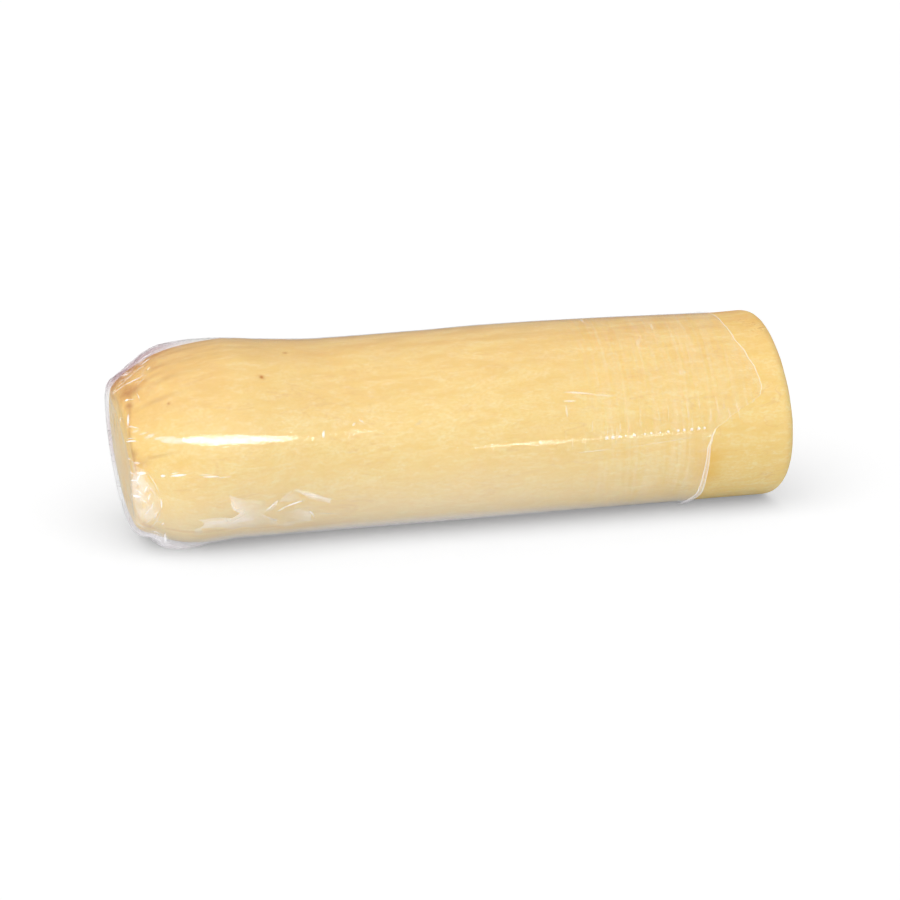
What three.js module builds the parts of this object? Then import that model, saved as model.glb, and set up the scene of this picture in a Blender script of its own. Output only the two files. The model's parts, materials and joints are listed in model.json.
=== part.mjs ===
// Smoked provolone: a firm cheese log lying on its side, wrapped in clear film.
// One end tapers to a creased end face under the gathered film. The other end is cut across and left bare.
// Millimetres, +Z up. The log lies along X with its gathered end at -X, and rests on z = 0.

import * as THREE from 'three';
import { ParametricGeometry } from 'three/addons/geometries/ParametricGeometry.js';

const { lerp, smoothstep, degToRad, euclideanModulo } = THREE.MathUtils;

// Cheese log. A station is a length along the log, measured from the middle of its gathered end.
const logLength = 419;
const flareStation = 66;
const flareRadius = 62.4;
const waistStation = 139;
const waistRadius = 59.3;
const bellyStation = 241;
const bellyRadius = 61.4;
const cutRadius = 60;
const cutRimRadius = 8;
const cutLean = 2;
const cutTurn = 4.6;
const restFlat = 2.2;
const settleBlend = 1.6;
const sagShare = 0.12;

// Gathered end of the log: a low domed face inside a ring crease, then a tapered shoulder.
// The end droops below the log's axis, and its face leans out at the top.
const faceRadius = 35;
const faceDome = 2;
const domeShare = 0.6;
const creaseWidth = 5;
const creaseDepth = 1.4;
const rimWidth = 4.5;
const shoulderPull = new THREE.Vector2(19, 53.3);
const flarePull = 35;
const endDroop = 9;
const endLean = 0.12;

// Film wrap. Its wall is far thicker than real film, so that it can be made as a solid.
const filmGap = 0.4;
const filmWall = 0.7;
const puffHeight = 6.6;
const puffStation = 24;
const puffOver = [0, 57];
const puffUnder = [8, 50];
const faceSlack = 0.8;
const tightShare = 0.25;
const pleatCount = 12;
const pleatHeight = 0.7;
const pleatEnd = 34;

// The film's free edge, as [degrees round from underneath by the front, station].
const filmEdge = [
  [0, 360], [60, 360], [85, 362], [97, 374], [106, 392], [114, 399], [150, 392],
  [185, 387], [230, 380], [290, 366],
];
const freeStation = 300;

// The thickened lip along the free edge, low on the front. It fades out round the log from its middle.
const lipHeight = 1.1;
const lipWidth = 7;
const lipTurn = 60;
const lipFade = [0.3, 0.8];

// Slack folds in the film, low on the front and the back of the log.
const slackFolds = [
  { station: 62, turn: 62, length: 24, width: 8, height: 1.3 },
  { station: 100, turn: 66, length: 28, width: 7, height: 1.2 },
  { station: 88, turn: 38, length: 30, width: 9, height: 1.4 },
  { station: 64, turn: 336, length: 30, width: 9, height: 1.3 },
];

// Mesh fineness
const sides = 48;
const curveSteps = 5;
const rimSteps = 4;
const wrappedRings = 10;
const bareRings = 4;
const edgeSteps = [40, 16, 7, 3, 0];

// Radius of the log's body, which swells near the gathered end and again past the middle.
function bodyRadius(station) {
  if (station < waistStation) {
    return lerp(flareRadius, waistRadius, smoothstep(station, flareStation, waistStation));
  }
  if (station < bellyStation) {
    return lerp(waistRadius, bellyRadius, smoothstep(station, waistStation, bellyStation));
  }
  return lerp(bellyRadius, cutRadius, smoothstep(station, bellyStation, logLength));
}

// Outline of the gathered end as [station, radius] points, from the middle of its face to the flare.
function gatheredOutline() {
  const creaseOut = faceRadius + creaseWidth;
  const rimOut = creaseOut + rimWidth;
  const outline = new THREE.Path()
    .moveTo(0, 0)
    .quadraticCurveTo(0, faceRadius * domeShare, faceDome, faceRadius)
    .quadraticCurveTo(faceDome + creaseDepth * 2, faceRadius + creaseWidth / 2, faceDome, creaseOut)
    .quadraticCurveTo(faceDome, rimOut, faceDome + rimWidth, rimOut + rimWidth / 2)
    .bezierCurveTo(
      shoulderPull.x, shoulderPull.y, flareStation - flarePull, flareRadius, flareStation, flareRadius,
    );
  return outline.getPoints(curveSteps);
}

// Outline of the cut end, from just past the body round its soft rim to the middle of the cut.
function cutOutline() {
  const rimStart = logLength - cutRimRadius;
  const rimRadius = bodyRadius(rimStart);
  const outline = new THREE.Path()
    .moveTo(rimStart, rimRadius)
    .quadraticCurveTo(logLength, rimRadius, logLength, rimRadius - cutRimRadius)
    .lineTo(logLength, rimRadius / 2)
    .lineTo(logLength, 0);
  return outline.getPoints(rimSteps).slice(1);
}

// Outline of a stretch of the body as evenly spaced points, past its first station and up to its last.
function bodyOutline(from, to, rings) {
  const points = [];
  for (let ring = 1; ring <= rings; ring++) {
    const station = lerp(from, to, ring / rings);
    points.push(new THREE.Vector2(station, bodyRadius(station)));
  }
  return points;
}

// Outward direction of an outline at one of its points, from its neighbours.
function outwardAt(outline, index) {
  if (index === 0) return new THREE.Vector2(-1, 0);
  if (index === outline.length - 1) return new THREE.Vector2(0, 1);
  const run = outline[index + 1].clone().sub(outline[index - 1]).normalize();
  return new THREE.Vector2(-run.y, run.x);
}

// Rounds a height softly into the floor, and keeps what would sink below it flat.
function settle(height, floor) {
  const near = Math.max(settleBlend - Math.abs(height - floor), 0) / settleBlend;
  return Math.max(height, floor) + near * near * settleBlend / 4;
}

// Puts a point of the outline in place: turned round the log, sagging a little, leaning, flat underneath.
function place(point, station, turn, floor, target) {
  const taper = Math.max(1 - station / flareStation, 0);
  const cutShare = smoothstep(station, bellyStation, logLength);
  const up = -point.y * Math.cos(turn);
  const out = point.y * Math.sin(turn) * (1 + sagShare * Math.cos(turn));
  const axis = bodyRadius(station) + filmGap + filmWall - restFlat - endDroop * taper;
  const slant = endLean * taper * up + cutShare * (cutLean * up - cutTurn * out) / cutRadius;
  target.set(point.x - slant, -out, settle(axis + up, floor));
}

// Where the film ends, for a turn round the log.
function edgeStation(turn) {
  const degrees = euclideanModulo(turn * 180 / Math.PI, 360);
  const spots = [...filmEdge, [360 + filmEdge[0][0], filmEdge[0][1]]];
  const next = spots.findIndex(([at]) => at > degrees);
  const [fromTurn, fromStation] = spots[next - 1];
  const [toTurn, toStation] = spots[next];
  return lerp(fromStation, toStation, smoothstep(degrees, fromTurn, toTurn));
}

// How far the film stands off the cheese: puffed over the shoulder, pleated at the end, slack in folds.
function standOff(station, turn, edge) {
  const loose = lerp(tightShare, 1, Math.cos(turn) ** 2);
  const over = (1 - Math.cos(turn)) / 2;
  const rise = station < puffStation
    ? smoothstep(station, lerp(puffUnder[0], puffOver[0], over), puffStation)
    : 1 - smoothstep(station, puffStation, lerp(puffUnder[1], puffOver[1], over));
  const face = faceSlack * (1 - smoothstep(station, faceDome, puffStation));
  const pleat = pleatHeight * (1 + Math.cos(turn * pleatCount)) / 2
    * (1 - smoothstep(station, puffStation, pleatEnd)) * smoothstep(station, 0, faceDome);
  const lipShare = smoothstep(Math.cos(turn - degToRad(lipTurn)), ...lipFade);
  const lip = lipHeight * lipShare * smoothstep(station, edge - lipWidth, edge);
  let slack = 0;
  for (const fold of slackFolds) {
    const along = (station - fold.station) / fold.length;
    const across = 2 * Math.sin((turn - degToRad(fold.turn)) / 2) * flareRadius / fold.width;
    slack += fold.height * Math.exp(-along * along - across * across);
  }
  slack *= smoothstep(station, 0, puffStation);
  return filmGap + puffHeight * loose * rise + face + pleat + lip + slack;
}

// The cheese: its whole outline turned round the log.
function cheeseShape() {
  const outline = [
    ...gatheredOutline(),
    ...bodyOutline(flareStation, freeStation, wrappedRings),
    ...bodyOutline(freeStation, logLength - cutRimRadius, bareRings),
    ...cutOutline(),
  ];
  const rings = outline.length - 1;
  return new ParametricGeometry((u, v, target) => {
    const point = outline[Math.round(v * rings)];
    place(point, point.x, (1 - u) * Math.PI * 2, filmGap + filmWall, target);
  }, sides, rings);
}

// The film: one wall from the middle of the gathered end to its free edge, outside and then back inside.
function filmShape() {
  const outline = [...gatheredOutline(), ...bodyOutline(flareStation, freeStation, wrappedRings)];
  const rows = outline.length + edgeSteps.length;

  function skin(row, turn, extra, target) {
    const edge = edgeStation(turn);
    let point = outline[row];
    let outward = new THREE.Vector2(0, 1);
    if (row < outline.length) {
      outward = outwardAt(outline, row);
    } else {
      const station = edge - edgeSteps[row - outline.length];
      point = new THREE.Vector2(station, bodyRadius(station));
    }
    const away = standOff(point.x, turn, edge) + extra;
    const moved = point.clone().addScaledVector(outward, away);
    place(moved, point.x, turn, filmWall - extra, target);
  }

  return new ParametricGeometry((u, v, target) => {
    const row = Math.round(v * (2 * rows - 1));
    const turn = (1 - u) * Math.PI * 2;
    if (row < rows) {
      skin(row, turn, filmWall, target);
    } else {
      skin(2 * rows - 1 - row, turn, 0, target);
    }
  }, sides, 2 * rows - 1);
}

const cheeseMaterial = new THREE.MeshStandardMaterial({ color: '#f3d28c', roughness: 0.55, metalness: 0 });
const filmMaterial = new THREE.MeshStandardMaterial({
  color: '#f4efe6', roughness: 0.12, metalness: 0, transparent: true, opacity: 0.3,
});

const cheese = new THREE.Mesh(cheeseShape(), cheeseMaterial);
cheese.name = 'cheese_log';
const film = new THREE.Mesh(filmShape(), filmMaterial);
film.name = 'film_wrap';

const provolone = new THREE.Group();
provolone.add(cheese, film);

const extent = new THREE.Box3().setFromObject(provolone);
const middle = extent.getCenter(new THREE.Vector3());
provolone.position.set(-middle.x, -middle.y, -extent.min.z);

export default provolone;
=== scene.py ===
"""Smoked provolone: a firm cheese log in clear film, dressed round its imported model.

The log lies on its side along X with its gathered end at -X, and rests on z = 0. A station is a length along
the log from the middle of that end. A reach is a length along its outline from the same place, over the end,
the shoulder and the side. A turn is the way round it: 0 underneath, 90 at the front, 180 on top, 270 behind.
"""

import json
import math
import random

import bpy
import numpy as np
from bpy.props import FloatProperty, FloatVectorProperty, IntProperty, PointerProperty
from mathutils import Matrix, Vector, noise

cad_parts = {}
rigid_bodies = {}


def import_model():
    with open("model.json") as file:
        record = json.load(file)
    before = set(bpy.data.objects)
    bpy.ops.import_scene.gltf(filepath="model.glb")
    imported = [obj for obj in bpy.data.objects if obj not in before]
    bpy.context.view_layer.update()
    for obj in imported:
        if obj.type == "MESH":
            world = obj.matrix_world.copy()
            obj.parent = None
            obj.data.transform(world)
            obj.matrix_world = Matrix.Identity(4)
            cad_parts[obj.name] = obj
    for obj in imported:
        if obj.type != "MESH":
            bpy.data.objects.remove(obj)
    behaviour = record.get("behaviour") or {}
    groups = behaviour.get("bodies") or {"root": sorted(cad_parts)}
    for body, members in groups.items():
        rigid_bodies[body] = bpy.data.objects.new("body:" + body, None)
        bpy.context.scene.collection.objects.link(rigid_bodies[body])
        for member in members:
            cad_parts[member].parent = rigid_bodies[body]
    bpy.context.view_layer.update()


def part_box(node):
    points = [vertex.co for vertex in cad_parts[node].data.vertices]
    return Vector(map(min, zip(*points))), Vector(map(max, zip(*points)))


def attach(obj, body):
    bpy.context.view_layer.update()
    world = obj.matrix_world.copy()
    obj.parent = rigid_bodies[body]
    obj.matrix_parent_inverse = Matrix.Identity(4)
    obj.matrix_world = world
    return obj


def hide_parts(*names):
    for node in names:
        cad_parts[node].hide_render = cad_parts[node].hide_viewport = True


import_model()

bl_info = {
    "name": "Smoked Provolone Log",
    "version": (1, 0, 0),
    "blender": (4, 5, 0),
    "location": "View3D > Sidebar > Provolone",
    "description": "Models a smoked provolone log in clear film, and the stage that it lies on",
    "category": "Add Mesh",
}

MM = 0.001


def linear(hex_colour):
    """An sRGB colour such as "f3d28c" as the linear red, green and blue that Blender works in."""
    parts = [int(hex_colour[at:at + 2], 16) / 255 for at in (0, 2, 4)]
    return [part / 12.92 if part <= 0.04045 else ((part + 0.055) / 1.055) ** 2.4 for part in parts]


def length(name, description, millimetres):
    """A length that the sidebar shows, given in millimetres."""
    return FloatProperty(
        name=name, description=description, default=millimetres * MM, min=0, unit="LENGTH", precision=4
    )


def share(name, description, default):
    """A plain number that the sidebar shows, such as a part of a whole."""
    return FloatProperty(name=name, description=description, default=default, min=0)


def angle(name, description, degrees):
    """An angle that the sidebar shows, given in degrees."""
    return FloatProperty(name=name, description=description, default=math.radians(degrees), subtype="ANGLE")


def colour(name, description, hex_colour):
    """A colour that the sidebar shows, given as sRGB."""
    return FloatVectorProperty(
        name=name, description=description, default=linear(hex_colour), size=3, min=0, max=1, subtype="COLOR"
    )


class ProvoloneLog(bpy.types.PropertyGroup):
    """Sizes and colours of the cheese itself."""

    long: length("Length", "From the middle of the gathered end to the cut", 419)
    flare_station: length("Flare station", "Where the log is thickest behind its shoulder", 66)
    flare_radius: length("Flare radius", "Radius at the flare", 62.4)
    waist_station: length("Waist station", "Where the log is thinnest", 139)
    waist_radius: length("Waist radius", "Radius at the waist", 59.3)
    belly_station: length("Belly station", "Where the log swells again", 241)
    belly_radius: length("Belly radius", "Radius at the belly", 61.4)
    cut_radius: length("Cut radius", "Radius at the cut end", 60)
    cut_rim: length("Cut rim", "Softness of the edge round the cut", 8)
    cut_lean: length("Cut lean", "How far the cut leans in at the top", 2)
    cut_turn: length("Cut turn", "How far the cut turns towards the front", 4.6)
    rest_flat: length("Rest flat", "Depth that the log has settled by on its underside", 2.2)
    settle_blend: length("Settle blend", "Softness of the edge of the settled strip", 1.6)
    rest_height: length("Rest height", "Height of the settled strip above the floor", 1.1)
    sag_share: share("Sag", "How much wider the log is low down than high up", 0.12)
    face_radius: length("Face radius", "Radius of the gathered end's low dome", 35)
    face_dome: length("Face dome", "Height of that dome", 2)
    crease_width: length("Crease width", "Width of the step round the dome", 5)
    rim_width: length("Rim width", "Roundness of the shoulder's edge", 4.5)
    shoulder_station: length("Shoulder station", "Where the shoulder's curve is drawn to, along the log", 19)
    shoulder_radius: length("Shoulder radius", "Where that curve is drawn to, out from the middle", 53.3)
    flare_pull: length("Flare pull", "How far before the flare its curve begins", 35)
    end_droop: length("End droop", "How far the gathered end hangs below the log's middle", 9)
    end_lean: share("End lean", "How far the gathered end leans out at the top", 0.12)
    sides: IntProperty(name="Sides", description="Faces round the log", default=240, min=24)
    front_focus: share("Front focus", "How much closer together the faces are at the front", 0.35)
    wave_height: length("Wave height", "Height of the rind's shallow waves", 0.16)
    grain_height: length("Grain height", "Depth of the rind's fine grain", 0.12)
    crease_depth: length("Crease depth", "Depth of the crease round the gathered end", 0.15)
    pale: colour("Pale rind", "The rind between its streaks", "f7dc98")
    deep: colour("Deep rind", "The rind's long streaks", "f3cf7e")
    blush: colour("Blush", "The broad warmer patches", "f3cf86")
    cream: colour("Cream", "The fine pale flecks", "fae6b0")
    vein: colour("Vein", "The thin darker lines", "dba675")
    # Smoke also stands for painted shade: it is laid darker along the top, where less light falls.
    smoke_and_shade: colour("Smoke", "The smoked top and shoulder", "dca75f")
    stain: colour("Stain", "Deposits in the crease of the gathered end", "ad6a34")
    pit: colour("Pit colour", "Smoke caught in a pit of the rind", "c27420")
    gold: colour("Gold", "Oily patches", "eebd58")
    core: colour("Core", "Pale cut cheese", "fde2a6")
    core_deep: colour("Core depths", "Denser cut cheese", "f6cf87")
    bounce: colour("Bounce", "The light that the rind throws on the floor, kept neutral", "a9a7a5")


class ProvoloneFilm(bpy.types.PropertyGroup):
    """Sizes and colours of the film round the cheese."""

    gap: length("Gap", "Room between the cheese and the tight film", 0.3)
    wall: length("Wall", "Thickness of the film's wall", 0.2)
    puff: length("Puff", "How far the film stands off the top of the shoulder", 3.4)
    puff_station: length("Puff station", "Where it stands off furthest on top", 34)
    puff_over: length("Puff end on top", "Where it meets the cheese again on top", 74)
    sag: length("Sag", "How far the film stands off the underside of the shoulder", 5.4)
    sag_station: length("Sag station", "Where it stands off furthest underneath", 24)
    puff_under: length("Puff end below", "Where it meets the cheese again underneath", 50)
    tight_share: share("Tight share", "How much of the puff is left at the front and the back", 0.2)
    face_gap: length("Face gap", "How far the film stands off the edge of the gathered end", 1.5)
    pleat: length("Pleat", "Height of the gathered pleats", 0.7)
    crumple: length("Crumple", "Height of the crumpled facets of loose film", 1.0)
    free_station: length("Free station", "Where the film's edge begins to shape it", 300)
    lip: length("Lip", "How far the lower edge stands off", 1.1)
    lip_width: length("Lip width", "Width of the raised lower edge", 7)
    round_radius: length("Round radius", "Radius at which a length round the film is measured", 61)
    sides: IntProperty(name="Sides", description="Faces round the film", default=212, min=24)
    front_focus: share("Front focus", "How much closer together the faces are at the front", 0.4)
    # The tint is partly painted shade, for the grey of film seen edge-on.
    tint: colour("Tint", "What gathered film lets through", "ecdfe2")
    # Milk is also the colour of the painted glints and of the milky film's painted glow.
    milk: colour("Milk", "The film where it scatters light", "f5f3f6")


class ProvoloneStage(bpy.types.PropertyGroup):
    """The floor, the light and the camera."""

    floor_size: length("Floor size", "Side of the floor", 30000)
    floor: colour("Floor", "Matt white backing paper", "f6f6f6")
    floor_glow: share("Floor glow", "Light that the paper adds to what is seen of it", 0.25)
    dome: share("Dome", "Light from all round", 0.45)
    key: share("Key", "Light of the soft lamp high at the front, on the log", 0.71)
    paper_key: share("Paper key", "Light of the soft lamp high at the front, on the paper", 0.455)
    card: share("Card", "Light that the paper throws up at the log's front", 0.13)
    softness: angle("Softness", "How wide the soft lamps look from the log", 60)
    paper_softness: angle("Paper softness", "How wide the soft lamp looks from the paper", 78)
    camera_turn: angle("Camera turn", "Way round the log, where 0 looks along +Y", -15.36)
    camera_rise: angle("Camera rise", "Height of the camera over the floor, as an angle", 15.98)
    camera_distance: length("Camera distance", "From the camera to the log", 2325)
    camera_drop: length("Camera drop", "How far below the log's middle the camera aims", 17.7)
    camera_side: length("Camera side", "How far towards the cut end the camera aims", 2.94)
    middle_height: length("Middle height", "Height of the log's middle over the floor", 60)
    lens: share("Lens", "Focal length in millimetres", 146.4)


# How much fuller the log is on top than a turned form: station and mm
TOP_FILL = (
    (30, 2.7), (48, 1.2), (66, -0.2), (88, -0.7), (103, 0), (119, 0.9), (135, 1.8), (151, 1.7), (167, 1.2),
    (183, 0.5), (199, -0.4), (215, -0.8), (240, -1.1), (280, -0.9), (320, -0.6), (395, -0.6), (412, 0),
)

# The film's free edge: turn in degrees, station in mm
FILM_EDGE = (
    (0, 358), (30, 358), (45, 361), (60, 360.5), (80, 361), (87, 363), (91, 365), (97, 374), (102, 382),
    (106, 392), (110, 397.5), (115, 399), (125, 398), (135, 395), (148, 391), (165, 389), (185, 387),
    (230, 380), (290, 366), (340, 359),
)

# The crease round the gathered end: turn in degrees, reach in mm
RING_CREASE = (
    (0, 36), (60, 39), (91, 42), (121, 43.5), (131, 45.5), (141, 48), (149, 50.5), (158, 52.5), (170, 51),
    (200, 50), (280, 44),
)

# Radius of the film's rolled free edge: turn in degrees, radius in mm
FILM_ROLL = (
    (0, 0.5), (16, 1.2), (28, 2.0), (45, 1.9), (60, 1.6), (78, 1.1), (88, 0.6), (95, 0.22), (108, 0.2),
    (116, 0.36), (140, 0.42), (170, 0.36), (220, 0.3), (300, 0.35), (345, 0.45),
)

# Narrow lamps that only gloss shows: name, where they start and end and their height in mm, glow
LAMP_STRIPS = (
    ("shoulder_strip", (-286, -322, 194), (-6, -314, 182), 42, 27),
    ("side_strip", (62, -354, 54), (168, -346, 50), 6, 30),
    ("bead_strip", (172, -346, 52), (252, -343, 46), 11, 9),
)

# Fine creases, and painted highlights drawn as white creases, which are marked below. Reach and turn of the
# middle, half length, half width, aim in degrees, bend, milkiness
CREASES_AND_GLINTS = (
    (127, 64.3, 5.7, 0.55, 47, 0.3, 0.8),
    (133.8, 61.1, 3.7, 0.55, 43, 0.3, 0.9),
    (141, 64.6, 7.6, 0.75, 20, 0.5, 1),
    (153.5, 54, 6, 0.5, -58, 1, 0.65),
    (165.3, 53, 10.7, 0.35, -10, 0, 0.4),
    (103.5, 65.5, 4.3, 0.8, -51, -0.3, 0.5),
    (112, 68, 11, 1.1, 0, 0.2, 0.1),
    (126, 54, 8, 0.7, -35, 0.3, 0.35),
    (152, 70, 13, 1.8, -20, 0.2, 0.4),
    (136, 70, 6, 1.4, 35, 0.2, 0.2),
    # Painted highlights: the dots and the streak low on the shoulder.
    (60.5, 91, 1.8, 1.2, 0, 0, 1),
    (70, 90.6, 5.4, 0.95, 0, 0.1, 1),
    (68, 92.2, 2.5, 0.5, 6, 0, 0.6),
    (89.5, 87.2, 5.8, 0.8, -8, 0.1, 0.65),
    (86, 88.9, 4.5, 0.45, -5, 0, 0.45),
    (97, 85.6, 5, 0.5, -6, 0, 0.35),
    # Painted highlights: the start of the shoulder highlight's tail.
    (47.2, 133, 5, 0.7, 79, 0, 0.9),
    (49.3, 126.4, 3.9, 0.5, -37, 0, 0.6),
    (45.8, 117.6, 3.6, 0.75, -22, 0.2, 0.95),
    (45.8, 119.6, 3, 0.4, -22, 0.2, 0.55),
    (41.5, 105.5, 1.8, 1.3, 0, 0, 0.55),
    (46.4, 101.8, 1.9, 1.2, -20, 0, 0.55),
    (36, 98, 2.2, 1.2, 0, 0, 0.5),
    (40, 93.4, 4.5, 0.8, -6, 0.4, 0.8),
    (48, 94.2, 3, 1.5, -6, 0, 0.95),
    (40, 86.2, 7, 0.8, 30, 0.5, 0.85),
    (36, 79.5, 8, 0.8, 42, 0.5, 0.65),
    (44, 75.2, 3.8, 1.2, 36, 0.6, 1),
    (38, 71, 9, 0.6, 46, 0.5, 0.45),
    (57.8, 71.6, 4.8, 0.7, 90, 0, 0.85),
    (46.5, 91, 3.6, 0.6, 68, 0.7, 0.9),
    (44.5, 87.5, 3.2, 0.5, -62, 0.6, 0.7),
    (49.5, 82.5, 3.4, 0.6, 64, 0.6, 0.85),
    (45.5, 79.5, 3, 0.5, -48, 0.5, 0.6),
    (51, 76.5, 3.6, 0.6, 72, 0.6, 0.8),
    (47, 73.5, 3, 0.5, -40, 0.4, 0.6),
    (52.5, 69.5, 4, 0.5, 76, 0.6, 0.6),
    (49.5, 64, 5.5, 0.5, 64, 0.8, 0.5),
    (54.5, 61, 6, 0.5, 72, 0.9, 0.45),
    (50, 55, 5, 0.45, 60, 0.8, 0.45),
    (54, 86.5, 11, 0.45, -70, 0.6, 0.4),
    (51.5, 83, 9, 0.45, -66, 0.5, 0.35),
    (53.4, 56, 13, 0.5, 73, -1, 0.35),
    (45, 44.6, 3.2, 0.7, 8, 0, 0.9),
    (61.4, 36.4, 10, 1.3, -83, 0, 0.85),
    (57, 11, 2.4, 1.2, 20, 0, 0.9),
    (60.6, 19, 4, 1.1, 40, 0, 0.95),
    (63, 20, 13, 0.9, 60, 0, 0.95),
    (47.5, 163.7, 4.6, 0.7, -20, 0, 0.55),
    (56.5, 161, 7, 0.8, -17, 0.2, 0.7),
    (51.5, 169.4, 3.2, 0.5, -23, 0, 0.5),
    (49.5, 148, 1.3, 0.9, 0, 0, 1),
    (51, 147.2, 4.2, 0.4, -22, 0, 0.5),
    (56.4, 146.3, 3.6, 0.35, 92, -0.2, 0.45),
    (43, 137.5, 1.8, 0.9, 60, 0, 0.6),
    # Painted highlights: the upright spot, and flecks of the soft band.
    (161.5, 105.5, 2.6, 1.0, 80, 0.4, 0.9),
    (181, 110.5, 1.6, 0.8, 40, 0, 0.5),
    (186, 112, 2.2, 0.7, -40, 0, 0.4),
    (326, 116.9, 11, 0.8, -7, 0.2, 0.45),
    (341, 114.8, 9, 0.8, -7, 0, 0.25),
    (319.5, 112.7, 4.8, 0.9, -3, 0, 0.4),
    (317, 107, 4.4, 0.9, 90, 0.2, 0.35),
    (333, 83, 13, 0.5, 2, 0.1, 0.3),
    (375, 85.3, 25, 0.4, 5, 0, 0.22),
    (402, 107, 5.5, 0.5, 88, 0.1, 0.2),
    (373, 149, 5, 1.6, 62, 0.4, 0.15),
    (387, 164, 5, 1, 80, 0.4, 0.2),
    (345, 180, 5, 0.9, 85, 0.3, 0.3),
)

# How much longer a reach is than its station on the log's body, in mm
REACH_MORE = 46

# Beads of highlight on the tight film, in a row along its front, partly painted white and partly the bead
# lamp's
# gloss: station in mm and size
HIGHLIGHT_BEADS = (
    (295, 1.2), (298.8, 1.2), (303.3, 0.9), (307, 0.6), (312.5, 1.0), (319.3, 0.7), (323.4, 0.8), (329, 0.5),
    (334.2, 0.9), (340.6, 0.9), (344.5, 0.9), (349.4, 0.9), (354, 1.0), (357.6, 0.8),
)

# Slack folds, which fade between their corners: reach, turn and milkiness of each
FOLDS = (
    (
        (99.5, 75, 0.12), (101, 68.7, 0.32), (107, 61.5, 0.36), (102, 58.5, 0.34), (90, 61.5, 0.2),
        (80.4, 61, 0.22), (82, 53.5, 0.28), (104, 46, 0.12), (124, 43, 0), (134, 50, 0), (123, 57, 0.15),
        (127, 63, 0.05), (124, 69, 0), (112, 71, 0),
    ),
    ((122.5, 59, 0.05), (126, 64, 0.25), (131, 68.5, 0.45), (129, 61, 0)),
    (
        (143, 72.5, 0), (149.8, 68.4, 0.16), (157, 65.5, 0.12), (165.2, 63, 0.28), (165.8, 66.4, 0.26),
        (153.2, 70.8, 0.2),
    ),
    ((132, 58, 0), (145.4, 61.2, 0.16), (154.8, 56, 0.3), (155.4, 47.5, 0.15), (141, 46, 0), (134, 51, 0)),
    ((131, 67, 0.15), (139, 71, 0.16), (143, 74, 0), (147, 66, 0)),
    ((127, 53, 0.1), (132, 53, 0.2), (133, 47, 0.1), (128, 46.5, 0.15)),
    ((79, 54, 0.2), (83, 54, 0.2), (85, 47, 0), (78, 47, 0)),
    (
        (43, 108, 0.1), (49.8, 97, 0.14), (54.7, 85, 0.1), (57.8, 75, 0.1), (57.4, 67, 0.14),
        (54.4, 57, 0.12), (48, 45, 0.04), (44, 50, 0.04), (43, 66, 0.1), (42, 88, 0.14),
    ),
    ((44, 30, 0.3), (52, 36, 0.3), (62, 40, 0.45), (68, 34, 0.1), (62, 22, 0.5), (52, 8, 0.3), (46, 12, 0.3)),
)

# Folds where the film is slack: reach and turn of the middle, half length, half width and height in mm
SLACK_FOLDS = (
    (108, 62, 24, 8, 1.3),
    (146, 66, 28, 7, 1.2),
    (134, 38, 30, 9, 1.4),
    (110, 336, 30, 9, 1.3),
    (43, 66, 14, 13, 1.6),
)

# Milky patches of the film, and painted highlights: the first eight rows paint the shoulder highlight's tail,
# the next two its soft broken band. Reach and turn of the middle, half length and half width in mm, strength
MILKY_PATCHES_AND_HIGHLIGHTS = (
    (46, 128, 5, 1.3, 0.5),
    (50, 123.5, 5, 1.4, 0.52),
    (54, 120.5, 5, 1.5, 0.55),
    (58, 117.5, 5, 1.6, 0.58),
    (62.5, 114.8, 6, 1.8, 0.65),
    (67.5, 112.4, 6, 2, 0.75),
    (73, 110.6, 7, 2, 0.75),
    (80, 109, 8, 1.8, 0.7),
    (188, 109.5, 10, 3, 0.42),
    (222, 108.5, 7, 4, 0.4),
    (44, 82, 11, 18, 0.6),
    (48, 64, 13, 16, 0.58),
    (52, 50, 10, 10, 0.45),
    (94, 57, 16, 7, 0.6),
    (112, 54, 22, 9, 0.6),
    (126, 62, 16, 6, 0.5),
    (150, 60, 16, 8, 0.45),
    (140, 46, 18, 6, 0.6),
    (96, 44, 16, 5, 0.5),
    (62, 35, 16, 14, 0.5),
    (60, 178, 26, 10, 0.45),
    (345, 170, 3, 8, 0.5),
    (373, 149, 7, 12, 0.4),
    (395, 126, 5, 9, 0.5),
    (327, 144, 6, 8, 0.35),
    (310, 145, 5, 8, 0.35),
    (350, 130, 24, 20, 0.3),
    (220, 320, 40, 12, 0.45),
    (120, 300, 34, 16, 0.5),
)

# Smoke deposits on the rind: reach and turn of the middle, half length and half width in mm, strength
STAINS = (
    (50.5, 158, 5, 6, 0.85),
    (54.5, 156, 4.5, 4, 0.6),
    (49.5, 170, 4, 6, 0.45),
    (49, 146, 2.5, 3.5, 0.75),
    (43, 108, 3, 4, 0.6),
    (47, 102, 4, 3, 0.4),
    (57, 104, 11, 1, 0.35),
    (66, 159, 12, 2, 0.3),
    (72, 166, 16, 2.5, 0.3),
    (75, 152, 16, 2, 0.24),
    (95, 163, 22, 3, 0.22),
    (66, 139, 12, 1.4, 0.3),
    (110, 168, 24, 2.5, 0.18),
    (90, 177, 22, 2, 0.25),
    (72, 45.5, 16, 0.7, 0.35),
    (104, 46, 18, 0.6, 0.25),
    (131, 42.5, 18, 0.7, 0.25),
    (50, 41, 6, 2, 0.6),
    (47, 186, 5, 6, 0.5),
    (47, 265, 4, 20, 0.4),
)

# Oily patches of the rind, like the rows of STAINS
GOLD_PATCHES = (
    (20, 90, 30, 60, 0.7),
    (408, 66, 9, 12, 1.0),
    (74, 97, 20, 4, 0.3),
    (72, 45, 24, 1.2, 1.0),
    (104, 45.5, 26, 1.0, 1.0),
    (131, 42, 26, 1.2, 1.0),
    (92, 40, 20, 1.2, 1.0),
    (112, 37, 24, 1.0, 0.9),
    (150, 39, 22, 1.0, 0.8),
    (300, 255, 16, 11, 0.6),
)

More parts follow.
